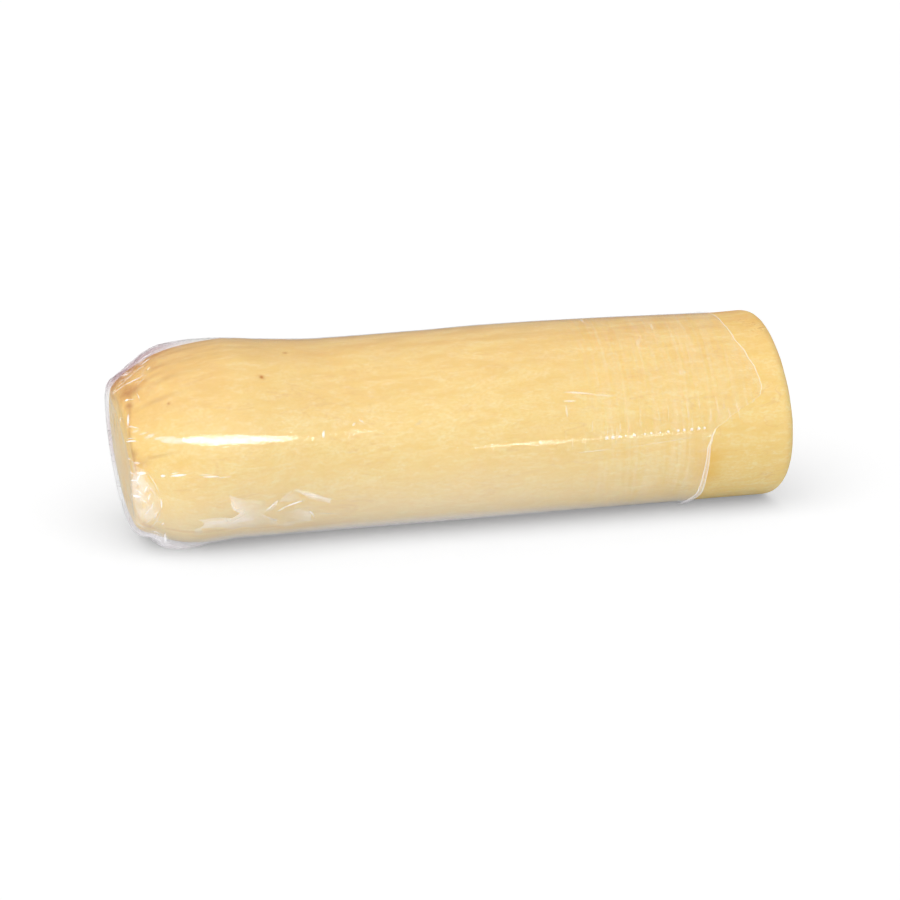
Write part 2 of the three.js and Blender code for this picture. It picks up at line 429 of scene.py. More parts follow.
# Crinkled places of the bare rind, like the rows of STAINS
CRINKLES = ((456, 158, 6, 7, 1), (449, 166, 5, 6, 0.6), (452, 250, 8, 9, 0.8), (440, 330, 8, 9, 0.6))

# Pits in the rind: reach and turn, width, depth in mm, darkness
PITS = (
    (127.6, 140.6, 1.4, 0.3, 1),
    (147.3, 162, 0.9, 0.3, 0.9),
    (71.5, 134.2, 0.7, 0.3, 0.8),
    (221, 228, 1.3, 1.1, 0.8),
    (356, 262, 1.0, 0.9, 0.7),
    (488, 38, 1.1, 1.0, 0),
    (497, 128, 1.5, 1.3, 0),
    (484, 214, 0.9, 0.8, 0),
    (509, 292, 1.3, 1.1, 0),
    (493, 258, 0.7, 0.6, 0),
)

# Noise for the rind: size in mm, scale along each axis, detail and distortion. The real grain is finer than
# the specks, which are drawn as coarse as they need to be to show.
RIND_NOISE = {
    "streaks": (7, (1 / 3.2, 1, 1), 3, 0.6),
    "patches": (26, (1 / 2, 1, 1), 2, 0.4),
    "flecks": (3.2, (1 / 2.6, 1, 1), 2, 0),
    "specks": (1.3, (1 / 1.8, 1, 1), 3, 0),
    "veins": (16, (1 / 3.5, 1, 1), 4, 1.2),
    "scratches": (4, (1 / 2.5, 1, 1), 2, 1.5),
    "smoky": (7, (1 / 4, 1, 1), 3, 0.4),
    "blotches": (7, (1 / 2, 1, 1), 3, 0),
    "curds": (9, (1, 1, 1), 4, 1.2),
    "crumbs": (1.8, (1, 1, 1), 2, 0),
}

# Colours laid over the rind or the cut: where, colour, mask, noise, its low and high, strength at each
RIND_LAYERS = (
    ("rind", "deep", None, "streaks", 0.34, 0.7, 0, 0.7),
    ("rind", "blush", None, "patches", 0.45, 0.7, 0, 0.4),
    ("rind", "cream", None, "flecks", 0.48, 0.7, 0, 0.45),
    ("rind", "deep", None, "specks", 0.42, 0.6, 0, 0.5),
    ("rind", "vein", "patchy", "veins", 0, 0.014, 0.24, 0),
    ("rind", "stain", "crinkle", "scratches", 0, 0.03, 0.8, 0),
    ("rind", "smoke_and_shade", "smoke_and_shade", "smoky", 0.35, 0.65, 0.75, 1.25),
    ("rind", "gold", "gold", "patches", 0.25, 0.6, 0.4, 1),
    ("rind", "stain", "stain", "blotches", 0.3, 0.65, 0.5, 1),
    ("cut", "core_deep", None, "curds", 0.36, 0.66, 0, 0.75),
    ("cut", "pale", None, "crumbs", 0.5, 0.7, 0, 0.35),
)

# Noise for the film, like RIND_NOISE. Its ripples run round the log.
FILM_NOISE = {
    "ripples": (2.4, (1, 0.05, 0.05), 3, 0.1),
    "dimples": (7, (1, 1, 1), 3, 0.8),
    "small dimples": (2.2, (1, 1, 1), 2, 0),
    "crinkles": (2.6, (1, 1, 1), 3, 1.2),
    "clouds": (5, (0.5, 1, 1), 5, 0),
}

# What the film's material works out, in order: result, how, and two terms. A term is a number, or the name
# of a noise, of a painted number or of an earlier result. EASE goes from 0 at its low to 1 at its high.
FILM_SUMS = (
    ("rippled", "MULTIPLY", "ripples", "ripple"),
    ("dimpled", "MULTIPLY", "dimples", 0.6),
    ("small dimples", "MULTIPLY", "small dimples", 0.3),
    ("dimpled", "ADD", "dimpled", "small dimples"),
    ("height", "MULTIPLY", "rippled", 0.4),
    ("height", "ADD", "height", "dimpled"),
    ("crinkled", "EASE", "crinkles", (0.4, 0.6)),
    ("crinkled", "MULTIPLY", "crinkled", 0.4),
    ("crinkled", "ADD", "crinkled", 0.6),
    ("tinted", "MULTIPLY", "gathered", "crinkled"),
    ("cloudy", "SUBTRACT", "clouds", 0.5),
    ("cloudy", "MULTIPLY", "cloudy", 0.9),
    ("cloudy", "ADD", "haze", "cloudy"),
    ("cloudy", "EASE", "cloudy", (0.3, 0.62)),
    ("thin haze", "MULTIPLY", "haze", 0.32),
    ("cloudy", "MULTIPLY", "cloudy", "thin haze"),
    ("banded", "MULTIPLY", "ripple", 0.45),
    ("banded", "SUBTRACT", "rippled", "banded"),
    ("banded", "MULTIPLY", "banded", 0.12),
    ("veiled", "ADD", "veil", "banded"),
    ("milky", "MAXIMUM", "cloudy", "seam"),
    ("milky", "MAXIMUM", "milky", "veiled"),
)

# The numbers that are painted on every piece of film
FILM_PAINT = ("haze", "gathered", "seam", "ripple", "veil", "gloss")

# Stretch film's refractive index, and the light that a tight layer of it lets through
FILM_IOR = 1.48
CLEAR_FILM = (0.997, 0.997, 0.996)

# The turn where the faces are closest together, and the turn where the film's edge is slackest
FOCUS_TURN = math.radians(100)
SLACK_TURN = math.radians(60)


def end_creases():
    """Crease rows for film gathered over the end: pleats, crinkles, and sparkles painted white as glints."""
    chance = random.Random(11)
    rows = []
    for start in range(0, 360, 24):
        reach = chance.uniform(20, 34)
        aim = chance.uniform(-14, 14)
        turn = start + chance.uniform(-8, 8)
        half = chance.uniform(5, 12)
        rows.append((reach, turn, half, 0.8, aim, 0.5, chance.uniform(0.02, 0.12)))
    # Crinkles whose white stands partly for painted glints: underneath, on top and behind.
    for middle, spread, end, count in ((0, 22, 68, 100), (186, 12, 90, 90), (275, 40, 56, 50)):
        for _ in range(count):
            reach = chance.uniform(42, end)
            turn = middle + chance.gauss(0, spread)
            aim = chance.gauss(0, 35)
            wide = chance.uniform(0.3, 0.9)
            rows.append((reach, turn, chance.uniform(1.5, 5), wide, aim, 0.4, chance.uniform(0.2, 0.9)))
    # Sparkles: painted glints in the band along the top.
    for _ in range(34):
        reach, turn = chance.uniform(50, 116), chance.uniform(183, 201)
        half, aim = chance.uniform(0.6, 2.4), chance.uniform(-60, 60)
        rows.append((reach, turn, half, 0.6, aim, 0, chance.uniform(0.4, 1)))
    return rows


def edge_creases():
    """Faint creases across the tight film near its edge, with beads of highlight painted white along its
    tight line.
    """
    chance = random.Random(7)
    rows = []
    for start, end, middle, rise in ((312, 360, 91, 0), (340, 404, 92, 0.05), (398, 440, 95, 0.35)):
        for _ in range(9):
            reach = chance.uniform(start, end)
            turn = middle + rise * (reach - start) + chance.uniform(-4, 9)
            half, aim, bend = chance.uniform(3, 8), chance.uniform(82, 97), chance.uniform(-0.3, 0.3)
            rows.append((reach, turn, half, 0.6, aim, bend, chance.uniform(0.06, 0.24)))
    for station, size in HIGHLIGHT_BEADS:
        turn = 90.3 + 0.03 * (station - HIGHLIGHT_BEADS[0][0])
        rows.append((station + REACH_MORE, turn, 1.2 * size, 1.2 * size, 0, 0, 0.9))
    return rows


def smooth(value, low, high):
    """Eases from 0 at low to 1 at high."""
    part = np.clip((value - low) / (high - low), 0, 1)
    return part * part * (3 - 2 * part)


def mix(start, end, part):
    """The value that lies this part of the way from start to end."""
    return start + (end - start) * part


def round_table(turn, table):
    """Eased values of a table that goes once round the log, whose rows are turn in degrees and mm."""
    turns, values = np.array(table, float).T
    turns = np.append(turns, 360 + turns[0])
    values = np.append(values, values[0]) * MM
    degrees = np.degrees(turn) % 360
    at = np.clip(np.searchsorted(turns, degrees, side="right"), 1, len(turns) - 1)
    return mix(values[at - 1], values[at], smooth(degrees, turns[at - 1], turns[at]))


def body_radius(log, station):
    """Radius of the log's body, which swells near the gathered end and again past the middle."""
    rows = (
        (log.flare_station, log.flare_radius), (log.waist_station, log.waist_radius),
        (log.belly_station, log.belly_radius), (log.long, log.cut_radius),
    )
    radius = np.full(np.shape(station), log.flare_radius)
    for (start, before), (end, after) in zip(rows, rows[1:]):
        radius = np.where(station > start, mix(before, after, smooth(station, start, end)), radius)
    return radius


def bow(*pulls, steps=40):
    """Points of a curve through its first and last pull, which the pulls between draw towards themselves."""
    part = np.linspace(0, 1, steps)[:, None]
    points = [np.array(pull) + 0 * part for pull in pulls]
    while len(points) > 1:
        points = [mix(point, following, part) for point, following in zip(points, points[1:])]
    return points[0]


class Outline:
    """Half the outline of a turned form: stations and radii, with the reach and outward direction of each."""

    def __init__(self, points):
        steps = np.hypot(*np.diff(points, axis=0).T)
        points = points[np.append(True, steps > 0.01 * MM)]
        self.station, self.radius = points.T
        steps = np.hypot(*np.diff(points, axis=0).T)
        self.reach = np.append(0, np.cumsum(steps))
        along = np.gradient(points, self.reach, axis=0)
        along /= np.linalg.norm(along, axis=1)[:, None]
        self.out_station, self.out_radius = -along[:, 1], along[:, 0]

    def at(self, reach):
        """Station, radius, and the outward direction's two parts, for lengths along the outline."""
        rows = (self.station, self.radius, self.out_station, self.out_radius)
        return [np.interp(reach, self.reach, row) for row in rows]

    def stepped(self, gaps):
        """Reaches from end to end whose gaps follow rows of reach and gap in mm."""
        places, sizes = np.array(gaps, float).T * MM
        reach = [0.0]
        while reach[-1] < self.reach[-1]:
            reach.append(reach[-1] + np.interp(reach[-1], places, sizes))
        return np.array(reach) * self.reach[-1] / reach[-1]


def end_points(log):
    """The gathered end's outline, from the middle of its dome over the step and the shoulder to the flare."""
    dome = (log.face_dome, log.face_radius)
    step = (log.face_dome, log.face_radius + log.crease_width)
    rim = step[1] + log.rim_width
    edge = (log.face_dome + log.rim_width, rim + log.rim_width / 2)
    return np.concatenate([
        bow((0, 0), (0, 0.6 * log.face_radius), dome),
        bow(dome, step),
        bow(step, (log.face_dome, rim), edge),
        bow(
            edge, (log.shoulder_station, log.shoulder_radius),
            (log.flare_station - log.flare_pull, log.flare_radius), (log.flare_station, log.flare_radius),
        ),
    ])


def body_points(log, end):
    """The body's outline from the flare to a station."""
    stations = np.linspace(log.flare_station, end, 300)
    return np.stack([stations, body_radius(log, stations)], 1)


def cheese_outline(log):
    """The cheese's whole outline, from the middle of its gathered end to the middle of its cut."""
    rim_start = log.long - log.cut_rim
    rim = float(body_radius(log, rim_start))
    inner = (log.long, rim - log.cut_rim)
    return Outline(np.concatenate([
        end_points(log), body_points(log, rim_start),
        bow((rim_start, rim), (log.long, rim), inner), bow(inner, (log.long, 0)),
    ]))


def film_outline(log):
    """The film's outline on the cheese, to the furthest station that its free edge gets to."""
    furthest = max(station for _, station in FILM_EDGE) * MM
    return Outline(np.concatenate([end_points(log), body_points(log, furthest)]))


def lay_down(log, station, radius, body_station, turn, floor):
    """Points of the log in its own coordinates: drooping, leaning, sagging a little and flat underneath."""
    taper = np.clip(1 - body_station / log.flare_station, 0, None)
    cut_share = smooth(body_station, log.belly_station, log.long)
    up = -radius * np.cos(turn)
    out = radius * np.sin(turn) * (1 + log.sag_share * np.cos(turn))
    axis = body_radius(log, body_station) + log.rest_height - log.rest_flat - log.end_droop * taper
    slant = log.end_lean * taper * up
    slant = slant + cut_share * (log.cut_lean * up - log.cut_turn * out) / log.cut_radius
    height = axis + up
    near = np.clip(log.settle_blend - np.abs(height - floor), 0, None) / log.settle_blend
    settled = np.maximum(height, floor) + near * near * log.settle_blend / 4
    return np.stack([station - slant, -out, settled], 1)


def frame_shift(log):
    """What brings the log's own coordinates to the frame: its box's middle moves to its CAD node's."""
    outline = cheese_outline(log)
    ways = np.radians(np.arange(0, 360, 3))
    turns = np.repeat(ways, len(outline.reach))
    stations, radii = (np.tile(row, len(ways)) for row in (outline.station, outline.radius))
    points = lay_down(log, stations, radii, stations, turns, log.rest_height)
    low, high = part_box("cheese_log")
    shift = (np.array(low + high) - points.min(0) - points.max(0)) / 2
    return shift * (1, 1, 0)


def waves(points, grain, stretch=(1, 1, 1)):
    """Smooth noise from -1 to 1 at points, with a grain in metres that stretch draws out along an axis."""
    scaled = points / (grain * np.array(stretch))
    return np.array([noise.noise(point) for point in scaled.tolist()])


def facets(points, grain):
    """Crumpled noise from 0 to 1 at points: flat facets between sharp ridges."""
    fine = 1 - np.abs(waves(points + 7 * grain, grain * 0.45)) * 2
    coarse = 1 - np.abs(waves(points, grain)) * 2
    return np.clip(0.65 * coarse + 0.35 * fine, 0, 1)


def straight(station, radius, turn):
    """Points of the log as if it were turned on a lathe, which noise is read at."""
    return np.stack([station, -radius * np.sin(turn), -radius * np.cos(turn)], 1)


def spot(reach, turn, radius, row):
    """A soft oval from a table's row: reach, turn, half length and half width, and 1 in its middle."""
    along = (reach - row[0] * MM) / (row[2] * MM)
    across = 2 * np.sin((turn - math.radians(row[1])) / 2) * np.maximum(radius, 12 * MM) / (row[3] * MM)
    return np.exp(-along * along - across * across)


def spots(reach, turn, radius, rows):
    """Several soft ovals, each as strong as its row's last number."""
    total = np.zeros(len(reach))
    for row in rows:
        total = np.maximum(total, row[-1] * spot(reach, turn, radius, row))
    return total


def rind_waves(log, station, radius, turn):
    """Height of the rind's shallow waves, which run along the log."""
    points = straight(station, radius, turn)
    return log.wave_height * (waves(points, 13 * MM, (5, 1, 1)) + 0.5 * waves(points, 5 * MM, (6, 1, 1)))


def top_fill(reach, station, turn):
    """How much fuller the log is on top than a turned form."""
    stations, fills = np.array(TOP_FILL).T * MM
    rising = smooth(reach, 35 * MM, 55 * MM)
    return np.interp(station, stations, fills) * rising * np.clip(-np.cos(turn), 0, 1)


def slack_share(turn):
    """Share of the low front, where the film's edge is slack and stands off."""
    return smooth(np.cos(turn - SLACK_TURN), 0.3, 0.8)


def end_crease(reach, turn):
    """Share of the crease round the gathered end, 1 at its bottom."""
    away = (reach - round_table(turn, RING_CREASE)) / (1.2 * MM)
    return np.exp(-away * away)


def deselect():
    """Leaves object mode with nothing selected."""
    if bpy.context.object and bpy.context.object.mode != "OBJECT":
        bpy.ops.object.mode_set(mode="OBJECT")
    bpy.ops.object.select_all(action="DESELECT")


def points_of(piece):
    """The places of a piece's points, a row for each."""
    places = np.empty(len(piece.data.vertices) * 3, np.float32)
    piece.data.vertices.foreach_get("co", places)
    return places.reshape(-1, 3).astype(float)


def numbers_of(piece, name):
    """The numbers that a piece carries under a name, one for each point."""
    values = np.empty(len(piece.data.vertices), np.float32)
    piece.data.attributes[name].data.foreach_get("value", values)
    return values.astype(float)


def joined(parts):
    """Joins parts into one piece."""
    deselect()
    for part in parts:
        part.select_set(True)
    bpy.context.view_layer.objects.active = parts[0]
    bpy.ops.object.join()
    return bpy.context.object


def turned_piece(name, outline, reaches, sides):
    """Draws an outline edge by edge and spins it round the log. Every point keeps its reach."""
    deselect()
    stations, radii = outline.at(reaches)[:2]
    bpy.ops.mesh.primitive_plane_add(size=MM, location=(stations[0], 0, radii[0]))
    piece = bpy.context.object
    piece.name = piece.data.name = name
    bpy.ops.object.transform_apply(location=True)
    bpy.ops.object.mode_set(mode="EDIT")
    bpy.ops.mesh.select_all(action="SELECT")
    bpy.ops.mesh.merge(type="CENTER")
    for step in np.diff(np.stack([stations, 0 * stations, radii], 1), axis=0):
        bpy.ops.mesh.extrude_vertices_move(TRANSFORM_OT_translate={"value": tuple(step)})
    bpy.ops.object.mode_set(mode="OBJECT")
    x, _, z = points_of(piece).T
    nearest = np.argmin(np.hypot(x[:, None] - stations, z[:, None] - radii), 1)
    paint(piece, "reach", reaches[nearest])
    bpy.ops.object.mode_set(mode="EDIT")
    bpy.ops.mesh.select_all(action="SELECT")
    bpy.ops.mesh.spin(steps=sides, angle=math.tau, center=(0, 0, 0), axis=(1, 0, 0))
    bpy.ops.mesh.select_all(action="SELECT")
    bpy.ops.mesh.remove_doubles(threshold=0.001 * MM)
    bpy.ops.mesh.normals_make_consistent(inside=False)
    bpy.ops.object.mode_set(mode="OBJECT")
    return piece


def focused_places(piece, focus):
    """Reach and turn of a spun piece's points before they are laid down, closer together at the front."""
    _, y, z = points_of(piece).T
    turn = np.arctan2(-y, -z)
    return numbers_of(piece, "reach"), turn - focus * np.sin(turn - FOCUS_TURN)


def refine(piece, chosen, cuts):
    """Divides the faces between the chosen points."""
    deselect()
    bpy.context.view_layer.objects.active = piece
    piece.select_set(True)
    bpy.ops.object.mode_set(mode="EDIT")
    bpy.ops.mesh.select_mode(type="VERT")
    bpy.ops.mesh.select_all(action="DESELECT")
    bpy.ops.object.mode_set(mode="OBJECT")
    piece.data.vertices.foreach_set("select", chosen)
    bpy.ops.object.mode_set(mode="EDIT")
    bpy.ops.mesh.subdivide(number_cuts=cuts)
    bpy.ops.object.mode_set(mode="OBJECT")


def move_points(piece, points):
    """Puts every point of a piece in its place."""
    piece.data.vertices.foreach_set("co", points.astype(np.float32).ravel())
    piece.data.update()


def paint(piece, name, values):
    """Writes one number a vertex for the materials to read."""
    layer = piece.data.attributes.get(name) or piece.data.attributes.new(name, "FLOAT", "POINT")
    layer.data.foreach_set("value", values.astype(np.float32))


def finish_piece(piece, material, slot, *nodes):
    """Smooths a piece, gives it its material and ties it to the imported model."""
    deselect()
    bpy.context.view_layer.objects.active = piece
    piece.select_set(True)
    bpy.ops.object.shade_smooth()
    piece.data.materials.clear()
    piece.data.materials.append(material)
    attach(piece, "root")
    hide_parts(*nodes)


def node(tree, kind, inputs=None, **settings):
    """Adds a node with its settings. Each input is a plain value, or the socket that a link comes from."""
    made = tree.nodes.new(kind)
    for name, value in settings.items():
        setattr(made, name, value)
    for name, value in (inputs or {}).items():
        if isinstance(value, bpy.types.NodeSocket):
            tree.links.new(value, made.inputs[name])
        elif hasattr(value, "__len__") and len(value) == 3 and len(made.inputs[name].default_value) == 4:
            made.inputs[name].default_value = (*value, 1)
        else:
            made.inputs[name].default_value = value
    return made


def new_material(name):
    """An empty node material and its output node."""
    material = bpy.data.materials.new(name)
    material.use_nodes = True
    material.node_tree.nodes.clear()
    return material, node(material.node_tree, "ShaderNodeOutputMaterial")


def noises(tree, table):
    """Noise patterns from a table's rows, each with a grain of a real size on the piece's own coordinates."""
    place = node(tree, "ShaderNodeTexCoord").outputs["Object"]
    found = {}
    for name, (size, scale, detail, distortion) in table.items():
        drawn = node(tree, "ShaderNodeMapping", {"Vector": place, "Scale": scale})
        found[name] = node(tree, "ShaderNodeTexNoise", {
            "Vector": drawn.outputs[0], "Scale": 1 / (size * MM), "Detail": detail, "Distortion": distortion,
        }).outputs["Fac"]
    return found


# Provolone rind is brined, smoked and rubbed smooth. It looks waxy and slightly see-through: warm pale yellow
# in long uneven streaks, with thin darker veins, a smokier shoulder, and no sharp gloss. Its top is darker,
# partly from smoke and partly as painted shade.
def rind_material(log):
    """The rind, and the cheese where it is cut."""
    material, output = new_material("Provolone rind, brined and smoked")
    tree = material.node_tree
    grains = noises(tree, RIND_NOISE)
    masks = {
        name: node(tree, "ShaderNodeAttribute", attribute_name=name).outputs["Fac"]
        for name in ("smoke_and_shade", "stain", "pit", "gold", "cut", "crinkle")
    }
    masks["patchy"] = node(tree, "ShaderNodeMapRange", {
        "Value": grains["patches"], "From Min": 0.4, "From Max": 0.6,
    }, interpolation_type="SMOOTHSTEP").outputs[0]
    for name in ("veins", "scratches"):
        off = node(tree, "ShaderNodeMath", {0: grains[name], 1: 0.5}, operation="SUBTRACT").outputs[0]
        grains[name] = node(tree, "ShaderNodeMath", {0: off}, operation="ABSOLUTE").outputs[0]

    tones = {"rind": log.pale, "cut": log.core}
    for place, colour_name, mask, grain, low, high, start, end in RIND_LAYERS:
        part = node(tree, "ShaderNodeMapRange", {
            "Value": grains[grain], "From Min": low, "From Max": high, "To Min": start, "To Max": end,
        }, interpolation_type="SMOOTHSTEP").outputs[0]
        if mask:
            part = node(tree, "ShaderNodeMath", {0: masks[mask], 1: part}, operation="MULTIPLY").outputs[0]
        tones[place] = node(tree, "ShaderNodeMix", {
            0: part, 6: tones[place], 7: getattr(log, colour_name),
        }, data_type="RGBA").outputs[2]
    bounced = node(tree, "ShaderNodeLightPath").outputs["Is Diffuse Ray"]
    tone = tones["rind"]
    for part, over in ((masks["pit"], log.pit), (masks["cut"], tones["cut"]), (bounced, log.bounce)):
        tone = node(tree, "ShaderNodeMix", {0: part, 6: tone, 7: over}, data_type="RGBA").outputs[2]

    height = node(tree, "ShaderNodeMath", {0: grains["streaks"], 1: grains["flecks"]}, operation="ADD")
    relief = node(tree, "ShaderNodeBump", {
        "Height": height.outputs[0], "Strength": 0.35, "Distance": log.grain_height,
    })
    skin = node(tree, "ShaderNodeBsdfPrincipled", {
        "Base Color": tone, "Roughness": 0.52, "IOR": 1.45, "Specular IOR Level": 0.4,
        "Subsurface Weight": 0.3, "Subsurface Radius": (1.0, 0.55, 0.2), "Subsurface Scale": 4 * MM,
        "Normal": relief.outputs[0],
    })
    tree.links.new(skin.outputs[0], output.inputs["Surface"])
    return material


# PVC stretch film is cast thin and clear, and wound on by hand. It lets nearly everything through, throws
# small sharp highlights from its wrinkles, and turns milky where it is slack or folded. Its milky white also
# carries painted highlights and a painted glow, and its tint is partly painted shade.
def film_material(film):
    """The film, made once for all of its pieces."""
    name = "PVC stretch film, clear and wound by hand"
    if name in bpy.data.materials:
        return bpy.data.materials[name]
    material, output = new_material(name)
    tree = material.node_tree
    values = noises(tree, FILM_NOISE)
    for painted in FILM_PAINT:
        values[painted] = node(tree, "ShaderNodeAttribute", attribute_name=painted).outputs["Fac"]
    for result, how, one, other in FILM_SUMS:
        one = values.get(one, one)
        other = values.get(other, other)
        if how == "EASE":
            made = node(tree, "ShaderNodeMapRange", {
                "Value": one, "From Min": other[0], "From Max": other[1],
            }, interpolation_type="SMOOTHSTEP")
        else:
            made = node(tree, "ShaderNodeMath", {0: one, 1: other}, operation=how)
        values[result] = made.outputs[0]

    relief = node(tree, "ShaderNodeBump", {
        "Height": values["height"], "Strength": 0.8, "Distance": 0.25 * MM,
    }).outputs[0]
    inside = node(tree, "ShaderNodeNewGeometry").outputs["Backfacing"]
    outside = node(tree, "ShaderNodeMath", {0: 1.0, 1: inside}, operation="SUBTRACT").outputs[0]
    glossy = node(tree, "ShaderNodeMath", {0: outside, 1: values["gloss"]}, operation="MULTIPLY").outputs[0]
    mirrored = node(tree, "ShaderNodeFresnel", {"IOR": FILM_IOR, "Normal": relief}).outputs[0]
    gloss = node(tree, "ShaderNodeMath", {0: mirrored, 1: glossy}, operation="MULTIPLY").outputs[0]
    passed = node(tree, "ShaderNodeMix", {
        0: values["tinted"], 6: CLEAR_FILM, 7: film.tint,
    }, data_type="RGBA").outputs[2]
    see_through = node(tree, "ShaderNodeBsdfTransparent", {"Color": passed})
    shine = node(tree, "ShaderNodeBsdfGlossy", {"Roughness": 0.06, "Normal": relief})
    clear = node(tree, "ShaderNodeMixShader", {0: gloss, 1: see_through.outputs[0], 2: shine.outputs[0]})
    # The milky film has a painted glow: its emission stands in for light passed on from behind, and brightens
    # its milky parts, most of all the veil low down.
    scatter_and_glow = node(tree, "ShaderNodeBsdfPrincipled", {
        "Base Color": film.milk, "Roughness": 0.25, "IOR": FILM_IOR, "Normal": relief,
        "Emission Color": film.milk, "Emission Strength": 0.35,
    })
    through = node(tree, "ShaderNodeMixShader", {
        0: values["milky"], 1: clear.outputs[0], 2: scatter_and_glow.outputs[0],
    })
    light = node(tree, "ShaderNodeLightPath").outputs
    passing = node(tree, "ShaderNodeMath", {
        0: light["Is Shadow Ray"], 1: light["Is Diffuse Ray"],
    }, operation="MAXIMUM").outputs[0]
    open_way = node(tree, "ShaderNodeBsdfTransparent", {"Color": (1, 1, 1)})
    whole = node(tree, "ShaderNodeMixShader", {0: passing, 1: through.outputs[0], 2: open_way.outputs[0]})
    tree.links.new(whole.outputs[0], output.inputs["Surface"])
    return material


class PROVOLONE_OT_cheese(bpy.types.Operator):
    """Model the cheese log: its turned outline, laid down, with waves, creases, pits and a cut face"""

    bl_idname = "provolone.cheese"
    bl_label = "Cheese log"

    def execute(self, context):
        log = context.scene.provolone_log
        outline = cheese_outline(log)
        end = outline.reach[-1] / MM
        # Gaps between the rings of faces: reach and gap in mm
        gaps = ((0, 0.8), (15, 1.3), (100, 1.5), (130, 2.4), (end - 90, 2.4), (end - 68, 1.0), (end, 3.5))
        piece = turned_piece("cheese", outline, outline.stepped(gaps), log.sides)
        reach, turn = focused_places(piece, log.front_focus)
        radius = outline.at(reach)[1]
        near = np.zeros(len(reach), bool)
        for row in PITS:
            near |= spot(reach, turn, radius, (row[0], row[1], 2 * row[2], 2 * row[2])) > 0.4
        refine(piece, near, 3)
        reach, turn = focused_places(piece, log.front_focus)
        station, radius, out_station, out_radius = outline.at(reach)

        rim_reach = outline.reach[-1] - (log.cut_radius - log.cut_rim)
        cut_share = smooth(reach, rim_reach - 3 * MM, rim_reach + 1 * MM)
        height = rind_waves(log, station, radius, turn) * smooth(reach, 0, 30 * MM) * (1 - cut_share)
        height += top_fill(reach, station, turn)
        crease = end_crease(reach, turn)
        height -= log.crease_depth * crease
        dark = np.zeros(len(reach))
        for row in PITS:
            pit = spot(reach, turn, radius, (row[0], row[1], row[2], row[2]))
            height -= row[3] * MM * pit
            dark = np.maximum(dark, row[4] * pit)
        shift = frame_shift(log)
        points = lay_down(
            log, station + height * out_station, radius + height * out_radius, station, turn, log.rest_height
        )
        move_points(piece, points + shift)

        # Smoke and painted shade: the top is darker partly from smoke and partly as painted shade, where less
        # light falls; ridge paints a thin line of shade along its crown. The shoulder and the end get smoke
        # alone.
        top = (1 - np.cos(turn) * smooth(reach, 12 * MM, 44 * MM)) / 2
        ridge = smooth(turn % math.tau, math.radians(176), math.radians(192))
        smoke_and_shade = 0.5 * ridge * smooth(top, 0.9, 0.96) + 0.25 * smooth(top, 0.6, 0.95)
        smoke_and_shade += 0.2 * smooth(top, 0.93, 0.99)
        smoke_and_shade += 0.2 * smooth(top, 0.6, 0.95) * (1 - smooth(reach, 55 * MM, 120 * MM))
        smoke_and_shade = np.maximum(smoke_and_shade, 0.12 * (1 - smooth(reach, 38 * MM, 50 * MM)))
        stain = np.maximum(spots(reach, turn, radius, STAINS), 0.55 * crease * smooth(top, 0.4, 0.6))
        paint(piece, "smoke_and_shade", smoke_and_shade * (1 - cut_share))
        paint(piece, "stain", stain)
        paint(piece, "pit", dark)
        paint(piece, "gold", spots(reach, turn, radius, GOLD_PATCHES))
        paint(piece, "cut", cut_share)
        paint(piece, "crinkle", spots(reach, turn, radius, CRINKLES))
        finish_piece(piece, rind_material(log), "cheese", "cheese_log")
        return {"FINISHED"}


def film_points(log, film, outline, reach, turn, extra, fitted):
    """Points of the film's outer side, lifted by extra, and what its paint needs. Fitted is 1 for the film
    itself, which ends at its free edge, and 0 for what lies on it."""
    station, radius, out_station, out_radius = outline.at(reach)
    furthest = outline.station[-1]
    edge = round_table(turn, FILM_EDGE)
    past = fitted * np.clip((station - film.free_station) / (furthest - film.free_station), 0, 1)
    shifted = np.where(past > 0, mix(film.free_station, edge, past), station)
    reach = reach + shifted - station
    station = shifted
    radius = np.where(past > 0, body_radius(log, station), radius)

    loose = mix(film.tight_share, 1, np.cos(turn) ** 2)
    over = (1 - np.cos(turn)) / 2
    puff_start = mix(8 * MM, 4 * MM, over)
    puff_end = mix(film.puff_under, film.puff_over, over)
    puff_station = mix(film.sag_station, film.puff_station, over)
    rise = np.where(
        station < puff_station, smooth(station, puff_start, puff_station),
        1 - smooth(station, puff_station, puff_end),
    )
    points = straight(station, radius, turn)
    crumpled = facets(points, 11 * MM)
    pleated = facets(straight(reach * 0.35, 9 * MM + 0 * reach, turn), 4.2 * MM)
    end_share = 1 - smooth(reach, 58 * MM, 104 * MM)
    off_middle = smooth(reach, 0, 30 * MM)
    slack = np.zeros(len(reach))
    for row in SLACK_FOLDS:
        slack += row[4] * MM * spot(reach, turn, radius, row)
    slackness = np.clip(slack / (1.2 * MM), 0, 1)
    before_edge = edge - station

    away = film.gap + film.wall + extra + mix(film.sag, film.puff, over) * loose * rise + slack
    away += film.crumple * crumpled * np.maximum(off_middle * end_share * loose * loose, 0.45 * slackness)
    away += film.pleat * pleated * end_share * off_middle * mix(0.1, 1, loose)
    away += film.lip * slack_share(turn) * (1 - smooth(before_edge, 0, film.lip_width))
    away += top_fill(reach, station, turn) + 0.35 * MM * end_share
    away += film.face_gap * smooth(reach, 24 * MM, 40 * MM) * (1 - smooth(reach, 46 * MM, 58 * MM))
    moved = lay_down(
        log, station + away * out_station, radius + away * out_radius, station, turn, -extra
    )
    ridge = np.maximum(crumpled * np.maximum(end_share * loose, slackness), 0.8 * pleated * end_share * loose)
    return moved, {
        "reach": reach, "station": station, "radius": radius, "ridge": ridge, "end_share": end_share,
        "loose": loose,
    }


